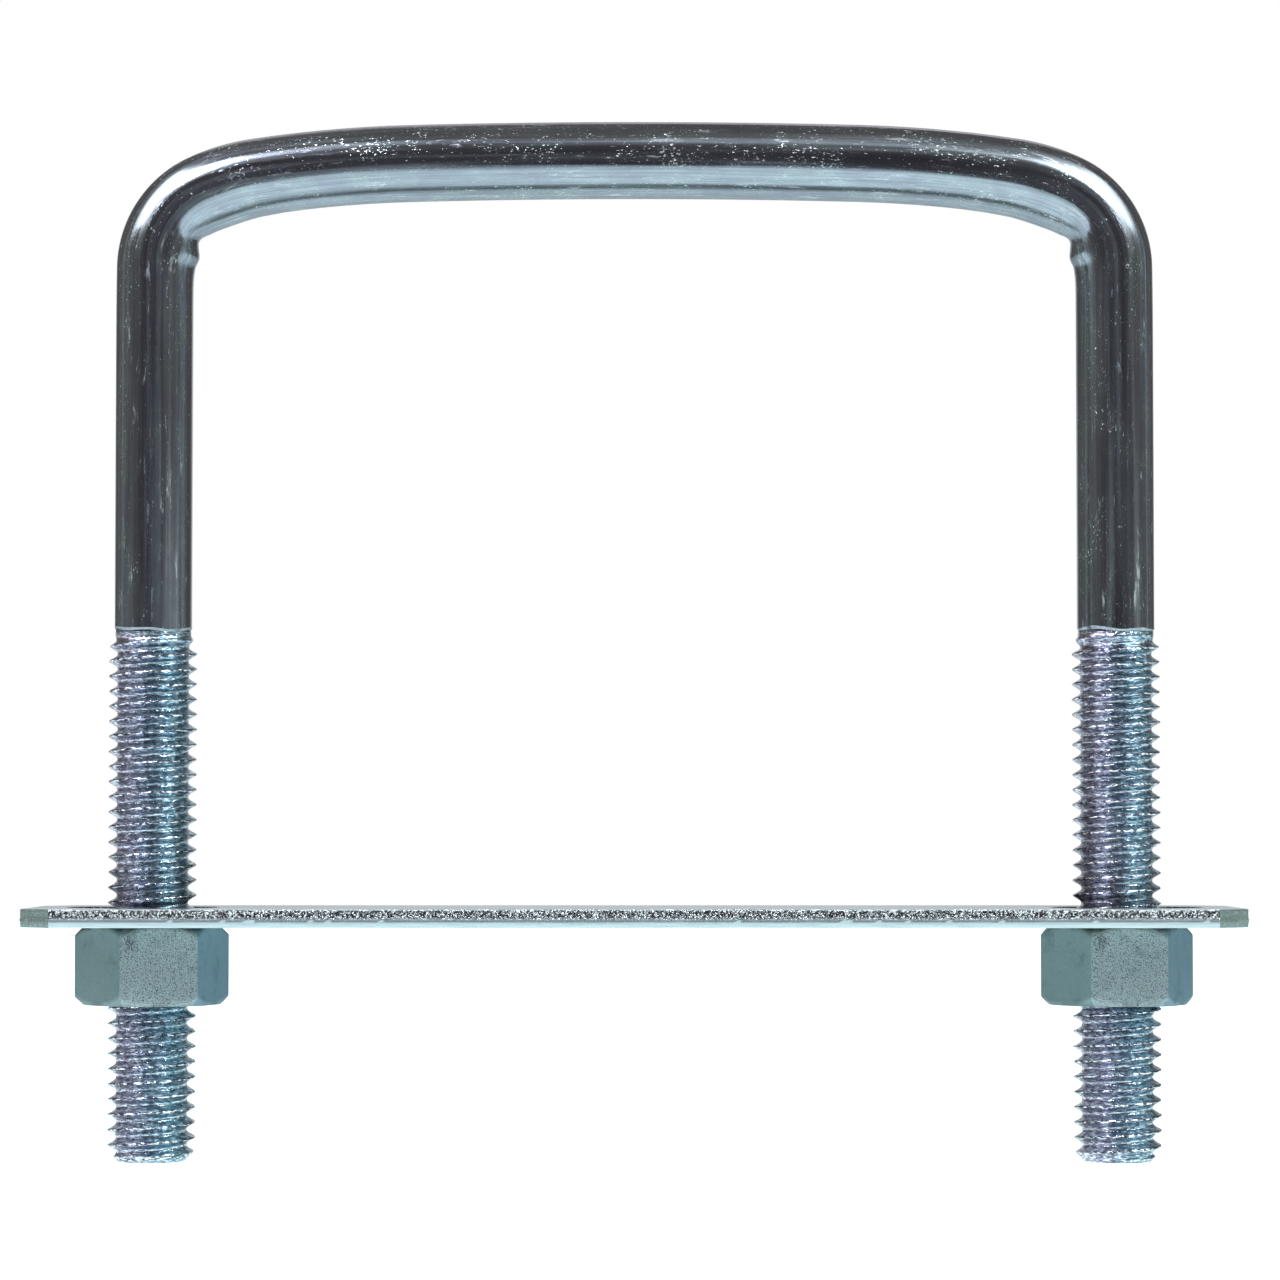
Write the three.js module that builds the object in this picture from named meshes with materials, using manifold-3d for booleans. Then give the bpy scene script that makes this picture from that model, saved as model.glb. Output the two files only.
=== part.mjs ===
// A square-bend U-bolt with its strap plate and two hex nuts, in millimetres.
// The legs stand along +Z with their ends at Z = 0, the crown is on top,
// and both legs lie in the XZ plane, half the leg spacing either side of the origin.
import * as THREE from "three";
import { mergeVertices } from "three/addons/utils/BufferGeometryUtils.js";
import Module from "manifold-3d";

// rod
const rodDiameter = 8.15;
const legSpacing = 101.6; // between the two legs' axes
const insideHeight = 101.6; // leg ends to the underside of the crown's middle
const rodSides = 16;

// bends of the rod's centreline, from the top of a straight leg to the middle of the crown
const cornerRadius = 8.7;
const cornerTurn = 65;
const shoulderRadius = 21;
const shoulderTurn = 16.5;
const crownEndRadius = 134;
const crownEndTurn = 7;
const bendStep = 8; // most degrees of bend in one facet

// right-hand 60 degree thread, rolled proud of the rod
const threadDiameter = 9.3;
const threadPitch = 1.5875;
const threadDepthShare = 0.58; // of the pitch
const crestShare = 0.125; // of the pitch
const flankAngle = 30;
const threadTurns = 35; // on each leg, from its end
const runoutTurns = 1.5; // where the thread fades into the plain rod
const pointSetback = 0.2; // of each leg's flat end, radially inside the thread's root

// hex nuts
const nutAcrossFlats = 14.1;
const nutHeight = 8.2;
const nutFaceShare = 0.94; // of the width across flats, left flat inside the 30 degree chamfer
const nutChamferAngle = 30;
const nutChamferSides = 48;
const runningClearance = 0.13; // radial, between a leg's thread and its nut's, past what the facets take
const countersinkMargin = 0.25; // radial, past the nut thread's largest radius
const leftNutAngle = 12;
const rightNutAngle = 5;
const legBelowNut = 16.4;

// strap plate
const plateWidth = 25.4;
const plateThickness = 1.9;
const plateCorner = 3.4; // 45 degree cut at each corner
const plateEnd = 3.75; // from a slot's outer end to the plate's
const slotClearance = 0.475; // between a leg and each side of its slot
const slotPlay = 5.65; // how much longer a slot is than wide
const slotSpread = 2; // how much further apart the slots are than the legs
const seatGap = 0.1; // between the nuts and the plate that rests on them

const wasm = await Module();
wasm.setup();

const degrees = THREE.MathUtils.degToRad;
const mix = THREE.MathUtils.lerp;
const rodRadius = rodDiameter / 2;
const crestRadius = threadDiameter / 2;
const threadDepth = threadDepthShare * threadPitch;
const threadLength = threadTurns * threadPitch;
const threadClearance = runningClearance + crestRadius * (1 - Math.cos(Math.PI / rodSides));
const slotWidth = Math.max(threadDiameter, rodDiameter) + 2 * slotClearance;
const slotLength = slotWidth + slotPlay;
const slotSpacing = legSpacing + slotSpread;
const plateLength = slotSpacing + slotLength + 2 * plateEnd;

const rodSteel = new THREE.MeshStandardMaterial({ color: 0x5d6468, metalness: 0.95, roughness: 0.32 });
const plateSteel = new THREE.MeshStandardMaterial({ color: 0xa9b6b8, metalness: 0.9, roughness: 0.45 });
const nutSteel = new THREE.MeshStandardMaterial({ color: 0x84989c, metalness: 0.9, roughness: 0.5 });

// A closed three.js geometry as a solid that can be joined and cut.
function solidOf(geometry) {
  const bare = new THREE.BufferGeometry();
  bare.setAttribute("position", geometry.getAttribute("position"));
  bare.setIndex(geometry.index);
  const merged = mergeVertices(bare, 1e-5);
  return new wasm.Manifold(
    new wasm.Mesh({
      numProp: 3,
      vertProperties: merged.getAttribute("position").array,
      triVerts: new Uint32Array(merged.index.array),
    }),
  );
}

// A solid back as a three.js geometry.
function geometryOf(solid) {
  const mesh = solid.getMesh();
  const geometry = new THREE.BufferGeometry();
  geometry.setAttribute("position", new THREE.BufferAttribute(mesh.vertProperties, mesh.numProp));
  geometry.setIndex(new THREE.BufferAttribute(mesh.triVerts, 1));
  geometry.computeVertexNormals();
  return geometry;
}

// Where each edge of the thread's form lies in one pitch, and how deep it is: crest, flank, root, flank.
function threadForm() {
  const flank = threadDepth * Math.tan(degrees(flankAngle));
  const crestWidth = crestShare * threadPitch;
  return [
    { along: 0, depth: 0 },
    { along: crestWidth, depth: 0 },
    { along: crestWidth + flank, depth: threadDepth },
    { along: threadPitch - flank, depth: threadDepth },
  ];
}

// How many whole turns a screw of this length holds between its squeezed first and last ones.
function fullTurns(length) {
  const roundingShare = 1e-6;
  return Math.floor(length / threadPitch + roundingShare) - 1;
}

// How far above its lower end a screw of this length starts to climb.
function screwLead(length) {
  return (length - (fullTurns(length) + 1) * threadPitch) / 2;
}

// The rows of a screw between two heights. Each row climbs one pitch in a turn, so that it ends
// where the next turn's row starts, and the first and last turns are squeezed flat against the ends.
// A row gives its height and radius at a share of the turn, and radiusAt shapes it by height.
function screwRows(bottom, top, radiusAt) {
  const form = threadForm();
  const turns = fullTurns(top - bottom);
  const first = bottom + screwLead(top - bottom);
  const row = (heightAt, depth) => (turn) => {
    const height = heightAt(turn);
    return { height, radius: radiusAt(height, depth) };
  };
  const rows = [row(() => bottom, 0)];
  rows.push(...form.map(({ along, depth }) => row((turn) => mix(bottom, first + along, turn), depth)));
  for (let n = 0; n < turns; n += 1) {
    const start = first + n * threadPitch;
    rows.push(...form.map(({ along, depth }) => row((turn) => start + along + threadPitch * turn, depth)));
  }
  const last = first + turns * threadPitch;
  rows.push(...form.map(({ along, depth }) => row((turn) => mix(last + along, top, turn), depth)));
  rows.push(row(() => top, 0));
  return rows;
}

// A plain round row.
const roundRow = (height, radius) => () => ({ height, radius });

// A lathed solid whose rows may climb as they go round, each point then placed in space by place().
function lathedRows(rows, place) {
  const profile = rows.map((row) => new THREE.Vector2(row(0).radius, row(0).height));
  const geometry = new THREE.LatheGeometry(profile, rodSides);
  const position = geometry.getAttribute("position");
  for (let side = 0; side <= rodSides; side += 1) {
    const turn = side / rodSides;
    rows.forEach((row, n) => {
      const { height, radius } = row(turn);
      const point = place(height, radius, 2 * Math.PI * (turn % 1));
      position.setXYZ(side * rows.length + n, point.x, point.y, point.z);
    });
  }
  return solidOf(geometry);
}

// The arcs of half the rod's centreline: the straight leg, the bends, and the crown's middle,
// which takes what is left of the quarter turn and of half the leg spacing.
function halfCentreline() {
  const bends = [
    { radius: cornerRadius, turn: degrees(cornerTurn) },
    { radius: shoulderRadius, turn: degrees(shoulderTurn) },
    { radius: crownEndRadius, turn: degrees(crownEndTurn) },
  ];
  const arcs = [];
  let heading = Math.PI / 2;
  let across = 0;
  let rise = 0;
  const bend = (radius, turn) => {
    arcs.push({ radius, turn, heading, across, rise, length: radius * turn });
    across += radius * (Math.sin(heading) - Math.sin(heading - turn));
    rise += radius * (Math.cos(heading - turn) - Math.cos(heading));
    heading -= turn;
  };
  bends.forEach(({ radius, turn }) => bend(radius, turn));
  bend((legSpacing / 2 - across) / Math.sin(heading), heading);
  const straight = insideHeight + rodRadius - rise;
  return { arcs, straight, length: straight + arcs.reduce((sum, arc) => sum + arc.length, 0) };
}

const centreline = halfCentreline();
const rodLength = 2 * centreline.length;

// The centreline's point and heading at a distance from a leg's end, for the left half of the rod.
function onLeftHalf(distance) {
  let left = distance - centreline.straight;
  if (left <= 0) {
    return { x: -legSpacing / 2, z: distance, heading: Math.PI / 2 };
  }
  const lastArc = centreline.arcs.at(-1);
  for (const arc of centreline.arcs) {
    if (left <= arc.length || arc === lastArc) {
      const heading = arc.heading - left / arc.radius;
      const x = -legSpacing / 2 + arc.across + arc.radius * (Math.sin(arc.heading) - Math.sin(heading));
      const z = centreline.straight + arc.rise + arc.radius * (Math.cos(heading) - Math.cos(arc.heading));
      return { x, z, heading };
    }
    left -= arc.length;
  }
}

// A point of the rod's surface. Its angle is counted from the outside of the bend,
// and the right half is the left half turned half a turn about Z, which keeps the thread's hand.
function bentRodPoint(distance, radius, angle) {
  const onRight = distance > centreline.length;
  const { x, z, heading } = onLeftHalf(onRight ? rodLength - distance : distance);
  const outward = radius * Math.cos(angle);
  const side = onRight ? -1 : 1;
  return new THREE.Vector3(
    side * (x - outward * Math.sin(heading)),
    -radius * Math.sin(angle),
    z + outward * Math.cos(heading),
  );
}

// A leg's thread: pointed at its end and fading into the plain rod at its top.
function legThreadRadius(height, depth) {
  const runout = runoutTurns * threadPitch;
  const fade = THREE.MathUtils.smoothstep(height, threadLength - runout, threadLength);
  const point = crestRadius - threadDepth - pointSetback + height;
  return Math.min(point, mix(crestRadius - depth, rodRadius, fade));
}

// The whole rod, threaded at both ends while straight, then bent into a U.
function makeBolt() {
  const left = [roundRow(0, 0), ...screwRows(0, threadLength, legThreadRadius)];
  let along = centreline.straight;
  left.push(roundRow(along, rodRadius));
  for (const arc of centreline.arcs) {
    const steps = Math.ceil(arc.turn / degrees(bendStep)) + 1;
    for (let n = 1; n <= steps; n += 1) {
      left.push(roundRow(along + (arc.length * n) / steps, rodRadius));
    }
    along += arc.length;
  }
  const mirrored = (row) => (turn) => {
    const { height, radius } = row(1 - turn);
    return { height: rodLength - height, radius };
  };
  const right = left.slice(0, -1).reverse().map(mirrored);
  return lathedRows([...left, ...right], bentRodPoint);
}

// The strap plate, lying flat with its underside at Z = 0.
function makePlate() {
  const halfLength = plateLength / 2;
  const halfWidth = plateWidth / 2;
  const outline = new THREE.Shape();
  outline.moveTo(-halfLength + plateCorner, -halfWidth);
  outline.lineTo(halfLength - plateCorner, -halfWidth);
  outline.lineTo(halfLength, -halfWidth + plateCorner);
  outline.lineTo(halfLength, halfWidth - plateCorner);
  outline.lineTo(halfLength - plateCorner, halfWidth);
  outline.lineTo(-halfLength + plateCorner, halfWidth);
  outline.lineTo(-halfLength, halfWidth - plateCorner);
  outline.lineTo(-halfLength, -halfWidth + plateCorner);
  outline.closePath();
  for (const middle of [-slotSpacing / 2, slotSpacing / 2]) {
    const reach = (slotLength - slotWidth) / 2;
    const slot = new THREE.Path();
    slot.absarc(middle + reach, 0, slotWidth / 2, -Math.PI / 2, Math.PI / 2, false);
    slot.absarc(middle - reach, 0, slotWidth / 2, Math.PI / 2, (3 * Math.PI) / 2, false);
    slot.closePath();
    outline.holes.push(slot);
  }
  const options = { depth: plateThickness, bevelEnabled: false, curveSegments: 8 };
  return solidOf(new THREE.ExtrudeGeometry(outline, options));
}

// The space that a leg's thread needs in a nut, countersunk at both faces.
function makeNutBore() {
  const mouth = crestRadius + threadClearance + countersinkMargin;
  const radiusAt = (height, depth) => {
    const fromFace = Math.min(height, nutHeight - height);
    return Math.max(crestRadius + threadClearance - depth, mouth - fromFace);
  };
  const past = countersinkMargin;
  const rows = [
    roundRow(-past, 0),
    roundRow(-past, mouth),
    ...screwRows(0, nutHeight, radiusAt),
    roundRow(nutHeight + past, mouth),
    roundRow(nutHeight + past, 0),
  ];
  const upright = (height, radius, angle) =>
    new THREE.Vector3(-radius * Math.cos(angle), -radius * Math.sin(angle), height);
  return lathedRows(rows, upright);
}

// A hex nut with its lower face at Z = 0, chamfered at both faces.
// The bore is turned so that its thread meets the leg's at the nut's height.
function makeNut(nutAngle) {
  const flat = nutAcrossFlats / 2;
  const corner = flat / Math.cos(Math.PI / 6);
  const face = flat * nutFaceShare;
  const outside = corner + 1;
  const drop = (outside - face) * Math.tan(degrees(nutChamferAngle));
  const hexagon = new THREE.Shape();
  for (let n = 0; n < 6; n += 1) {
    const angle = (n * Math.PI) / 3;
    const draw = n === 0 ? "moveTo" : "lineTo";
    hexagon[draw](corner * Math.cos(angle), corner * Math.sin(angle));
  }
  hexagon.closePath();
  const prism = solidOf(new THREE.ExtrudeGeometry(hexagon, { depth: nutHeight, bevelEnabled: false }));
  const chamfers = new THREE.LatheGeometry(
    [
      new THREE.Vector2(0, 0),
      new THREE.Vector2(face, 0),
      new THREE.Vector2(outside, drop),
      new THREE.Vector2(outside, nutHeight - drop),
      new THREE.Vector2(face, nutHeight),
      new THREE.Vector2(0, nutHeight),
    ],
    nutChamferSides,
  );
  chamfers.rotateX(Math.PI / 2);
  const climbsFrom = legBelowNut + screwLead(nutHeight) - screwLead(threadLength);
  const inStep = (360 * climbsFrom) / threadPitch;
  const bore = makeNutBore().rotate([0, 0, inStep - nutAngle]);
  return prism.intersect(solidOf(chamfers)).subtract(bore);
}

function namedMesh(name, solid, material) {
  const mesh = new THREE.Mesh(geometryOf(solid), material);
  mesh.name = name;
  return mesh;
}

const group = new THREE.Group();
group.add(namedMesh("u_bolt", makeBolt(), rodSteel));

// the plate and the nuts under it climb the legs together as the nuts are tightened
const clamp = new THREE.Group();
clamp.position.z = legBelowNut;
group.add(clamp);

const plate = namedMesh("strap_plate", makePlate(), plateSteel);
plate.position.z = nutHeight + seatGap;
clamp.add(plate);

// the right half is the left half turned half a turn about Z
const nuts = [
  { name: "left_nut", halfTurn: 0, angle: leftNutAngle },
  { name: "right_nut", halfTurn: Math.PI, angle: rightNutAngle },
];
for (const { name, halfTurn, angle } of nuts) {
  const nut = namedMesh(name, makeNut(angle), nutSteel);
  nut.position.x = -legSpacing / 2;
  nut.rotation.z = degrees(angle);
  const half = new THREE.Group();
  half.rotation.z = halfTurn;
  half.add(nut);
  clamp.add(half);
}

export default group;
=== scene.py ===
# A zinc plated square-bend U-bolt with its strap plate and two hex nuts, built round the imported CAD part.
import math
import bmesh
import bpy
import numpy as np
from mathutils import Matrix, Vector, geometry, noise


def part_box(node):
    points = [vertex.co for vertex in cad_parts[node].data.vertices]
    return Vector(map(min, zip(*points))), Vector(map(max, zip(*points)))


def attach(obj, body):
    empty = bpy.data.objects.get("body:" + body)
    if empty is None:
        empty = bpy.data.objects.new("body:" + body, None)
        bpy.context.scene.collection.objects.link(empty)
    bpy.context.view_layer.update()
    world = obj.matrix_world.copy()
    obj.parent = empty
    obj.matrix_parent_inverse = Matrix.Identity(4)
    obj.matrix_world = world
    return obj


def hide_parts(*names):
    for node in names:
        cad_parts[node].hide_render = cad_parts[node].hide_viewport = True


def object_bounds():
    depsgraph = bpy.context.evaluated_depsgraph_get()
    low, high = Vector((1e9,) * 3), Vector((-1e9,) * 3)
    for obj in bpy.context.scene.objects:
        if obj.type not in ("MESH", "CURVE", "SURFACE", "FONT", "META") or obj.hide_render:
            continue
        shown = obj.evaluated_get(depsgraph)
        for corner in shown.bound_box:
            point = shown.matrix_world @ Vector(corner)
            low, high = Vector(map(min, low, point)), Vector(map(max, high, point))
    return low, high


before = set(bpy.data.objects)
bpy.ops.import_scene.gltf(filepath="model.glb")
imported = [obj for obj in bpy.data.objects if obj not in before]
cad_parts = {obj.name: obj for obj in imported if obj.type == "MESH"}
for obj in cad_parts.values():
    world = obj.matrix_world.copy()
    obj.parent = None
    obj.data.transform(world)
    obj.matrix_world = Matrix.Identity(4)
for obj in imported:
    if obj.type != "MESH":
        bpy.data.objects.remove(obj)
cadLow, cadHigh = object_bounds()
mm = 0.001
print("frame loaded")

# corners of the CAD boxes, in millimetres like all sizes of the pieces
plateLow, plateHigh = (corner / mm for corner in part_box("strap_plate"))
nutLow, nutHigh = (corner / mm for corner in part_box("left_nut"))


def hexColour(code):
    # sRGB hex to the linear colour that shaders take
    parts = [int(code[n:n + 2], 16) / 255 for n in (1, 3, 5)]
    linear = [c / 12.92 if c <= 0.04045 else ((c + 0.055) / 1.055) ** 2.4 for c in parts]
    return (*linear, 1.0)


def addNode(tree, kind, inputs=(), **settings):
    # inputs stand in the node's own order, or in a dictionary by name or number
    # each is a value, or the node or output that feeds it
    # a mix takes its share as 0, then two numbers as 2 and 3 or two colours as 6 and 7
    node = tree.nodes.new("ShaderNode" + kind)
    for key, value in settings.items():
        setattr(node, key, value)
    for key, value in inputs.items() if isinstance(inputs, dict) else enumerate(inputs):
        if isinstance(value, bpy.types.Node):
            value = next(output for output in value.outputs if output.enabled)
        if isinstance(value, bpy.types.NodeSocket):
            tree.links.new(value, node.inputs[key])
        else:
            node.inputs[key].default_value = value
    return node


def startMaterial(name):
    material = bpy.data.materials.new(name)
    material.use_nodes = True
    material.node_tree.nodes.clear()
    return material, material.node_tree


def finishMetal(tree, colour, roughness, bump):
    inputs = {"Base Color": colour, "Metallic": 1.0, "Roughness": roughness, "Normal": bump}
    addNode(tree, "OutputMaterial", {"Surface": addNode(tree, "BsdfPrincipled", inputs)})


def addPatterns(tree, where, patterns, toMm=1.0):
    # noise by name, each from its stretch by direction, size in mm, detail and roughness
    made = {}
    for name, (stretch, size, detail, rough) in patterns.items():
        placed = addNode(tree, "Mapping", {"Vector": where, "Scale": [toMm * share for share in stretch]})
        inputs = {"Vector": placed, "Scale": 1 / size, "Detail": detail, "Roughness": rough}
        made[name] = addNode(tree, "TexNoise", inputs)
    return made


def smoothStep(value, low, high):
    t = np.clip((value - low) / (high - low), 0, 1)
    return t * t * (3 - 2 * t)


def makePiece(name, points, faces, materials, faceMaterials, attributes, sharpAngle, mergeWithin=2e-4):
    # points in mm; vertices closer than mergeWithin mm become one
    mesh = bpy.data.meshes.new(name)
    mesh.from_pydata((np.asarray(points) * mm).tolist(), [], faces)
    for key, values in attributes.items():
        values = np.asarray(values, np.float32)
        kind, field = ("FLOAT_VECTOR", "vector") if values.ndim == 2 else ("FLOAT", "value")
        mesh.attributes.new(key, kind, "POINT").data.foreach_set(field, values.ravel())
    for material in materials:
        mesh.materials.append(material)
    mesh.polygons.foreach_set("material_index", np.asarray(faceMaterials, np.int32))
    work = bmesh.new()
    work.from_mesh(mesh)
    bmesh.ops.remove_doubles(work, verts=work.verts, dist=mergeWithin * mm)
    bmesh.ops.dissolve_degenerate(work, edges=work.edges, dist=1e-8)  # metres
    bmesh.ops.recalc_face_normals(work, faces=work.faces)
    for face in work.faces:
        face.smooth = True
    work.to_mesh(mesh)
    work.free()
    mesh.set_sharp_from_angle(angle=math.radians(sharpAngle))
    piece = bpy.data.objects.new(name, mesh)
    bpy.context.scene.collection.objects.link(piece)
    print(name, len(mesh.vertices), "vertices", len(mesh.polygons), "faces")
    return piece


def gridFaces(rows, columns, closed=False):
    # quads between neighbouring rows of columns points each
    faces = []
    for row in range(rows if closed else rows - 1):
        following = (row + 1) % rows
        for column in range(columns - 1):
            a, b = row * columns + column, following * columns + column
            faces.append((a, a + 1, b + 1, b))
    return faces


# ---- thread ----
thread = {
    "pitch": 1.5875,
    "crest": 4.65,  # radius over the crests
    "depth": 0.92,
    "crestMiddle": 0.1,  # height of a crest's middle above the leg's end, at the outer side
    "length": 55.5625,
    "runout": 1.2,  # turns
    "spareTurns": 2,  # turns of extra rows past each end of a stretch, since rows climb
    # shares of a pitch from the crest's middle, and how far up the flank that is: rolled, so the root is round
    "form": [(-0.5, 0), (-0.4, 0.045), (-0.32, 0.17), (-0.24, 0.38), (-0.16, 0.62), (-0.085, 0.86),
             (-0.045, 0.97), (0, 1), (0.045, 0.97), (0.085, 0.86), (0.16, 0.62), (0.24, 0.38),
             (0.32, 0.17), (0.4, 0.045)],
    # rolled threads have ragged crests
    "raggedDepth": 0.1,
    "raggedAround": 9,  # noise steps across the radius
    "raggedAlong": 2.2,  # noise steps in a mm
    "raggedShare": 0.3,  # a higher share wears more of the crest
}


def threadRise(height, turn):
    # how far up the thread's form the surface is, 0 at the root and 1 on the crest
    shares, rises = zip(*thread["form"], (0.5, 0))
    phase = (height - thread["crestMiddle"]) / thread["pitch"] - turn
    return np.interp((phase + 0.5) % 1 - 0.5, shares, rises)


def threadRadius(height, turn):
    return thread["crest"] - thread["depth"] * (1 - threadRise(height, turn))


def threadRowStarts(low, high):
    # where each climbing row starts, so that every turn has the same rows
    first = math.floor(low / thread["pitch"]) - thread["spareTurns"]
    last = math.ceil(high / thread["pitch"]) + thread["spareTurns"]
    turns = [n + share for n in range(first, last) for share, _ in thread["form"]]
    return [thread["crestMiddle"] + turn * thread["pitch"] for turn in turns]


# ---- bolt ----
bolt = {
    "rodRadius": 4.075,
    "legAxis": 50.8,
    "insideHeight": 101.6,
    "bends": [(8.7, 65), (21, 16.5), (134, 7)],  # centreline radius and turn, from the leg towards the crown
    "endRadius": 3.53,
    "neckDrop": 0.1,  # how much thinner than the rod the neck over the thread is
    "shoulder": (0.24, 0.32),  # where neck becomes rod, above the thread
    "shoulderWaves": [(0.13, 2, 0.6), (0.09, 5, 0)],  # height, waves in a turn and phase of its uneven edge
    # how far bending moved the surface, where past the leg's top and over what length, then the side it is
    # on (-1 inner, 1 outer) and how narrow it is round the rod
    "bending": [
        (0.5, 1.9, 2.1, -1, 2),  # the inner side swells under its crease
        (-0.35, 5.6, 1.5, -1, 3),  # the crease
        (0.3, 12, 4.5, -1, 2),  # fuller again past it
        (-0.1, 4.6, 5.0, 1, 2),  # the outer side is stretched thinner
    ],
    "knocked": (92, 112),  # from few knocks to the crown's many, over this stretch from the leg's end
    "sides": 64,
    "endRings": (0.0, 0.4, 0.8),  # shares of the end's radius
    "shoulderRows": (0.05, 0.15, 0.25, 0.35, 0.45, 0.55, 0.65, 0.8),
    "firstRow": 1.0,  # of the plain rod, above the thread
    "rowStep": 1.5,
    "closeRows": 4,  # length under the bend where rows stand closer
    "closeStep": 0.4,
    "fewestSteps": 4,  # rows in an arc
    "bendStep": 1.6,  # degrees
    "longestStep": 2.5,
    "sharpAngle": 70,
    # stretch by direction, size in mm, detail and roughness
    "rodPatterns": {
        "dieLines": ((1, 1, 0.012), 0.22, 4.0, 0.6),  # real lines are about 0.05 mm, drawn coarser
        "broadLines": ((1, 1, 0.02), 1.1, 2.0, 0.6),
        "mottle": ((1, 1, 0.6), 2.4, 4.0, 0.6),
        "nicks": ((1, 1, 0.5), 0.2, 4.0, 0.75),
        "scuffs": ((1, 1, 0.16), 0.8, 6.0, 0.8),
    },
    "threadPatterns": {
        "tears": ((0.42, 0.42, 1.6), 0.27, 4.0, 0.75),  # real tears are about 0.1 mm, drawn coarser
        "film": ((1, 1, 0.5), 1.6, 3.0, 0.6),
    },
}


def boltArcs():
    # the arcs from the top of a straight leg to the middle of the crown
    arcs, heading, across, rise = [], math.pi / 2, 0.0, 0.0
    turns = [(radius, math.radians(turn)) for radius, turn in bolt["bends"]]
    for radius, turn in [*turns, (None, None)]:
        if radius is None:
            turn = heading
            radius = (bolt["legAxis"] - across) / math.sin(heading)
        arcs.append({"radius": radius, "turn": turn, "heading": heading, "across": across, "rise": rise})
        across += radius * (math.sin(heading) - math.sin(heading - turn))
        rise += radius * (math.cos(heading - turn) - math.cos(heading))
        heading -= turn
    return arcs, bolt["insideHeight"] + bolt["rodRadius"] - rise


arcs, straightLength = boltArcs()
halfLength = straightLength + sum(arc["radius"] * arc["turn"] for arc in arcs)


def onHalfRod(distance):
    # centreline place and heading of the left half, for arrays of distances from the leg's end
    x = np.full(distance.shape, -bolt["legAxis"])
    z = distance.copy()
    heading = np.full(distance.shape, math.pi / 2)
    start = straightLength
    for arc in arcs:
        here = distance > start
        turned = arc["heading"] - (distance - start) / arc["radius"]
        across = math.sin(arc["heading"]) - np.sin(turned)
        climb = np.cos(turned) - math.cos(arc["heading"])
        x = np.where(here, -bolt["legAxis"] + arc["across"] + arc["radius"] * across, x)
        z = np.where(here, straightLength + arc["rise"] + arc["radius"] * climb, z)
        heading = np.where(here, turned, heading)
        start += arc["radius"] * arc["turn"]
    return x, z, heading


def stepsUpTo(low, high, step):
    # places from low to just short of high
    return [low + step * n for n in range(math.ceil((high - low) / step))]


def halfRodRows():
    # each row is (start, climbs, share of the end's radius) along the left half, from the leg's end to the
    # crown's middle
    rows = [(0.0, False, share) for share in bolt["endRings"]]
    rows += [(start, True, None) for start in threadRowStarts(0, thread["length"])]
    places = [thread["length"] + distance for distance in bolt["shoulderRows"]]
    closeFrom = straightLength - bolt["closeRows"]
    places += stepsUpTo(thread["length"] + bolt["firstRow"], closeFrom, bolt["rowStep"])
    places += stepsUpTo(closeFrom, straightLength, bolt["closeStep"])
    start = straightLength
    for arc in arcs:
        length = arc["radius"] * arc["turn"]
        byTurn = math.ceil(math.degrees(arc["turn"]) / bolt["bendStep"])
        steps = max(bolt["fewestSteps"], byTurn, math.ceil(length / bolt["longestStep"]))
        places += [start + length * n / steps for n in range(steps)]
        start += length
    return rows + [(place, False, None) for place in [*places, halfLength]]


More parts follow.
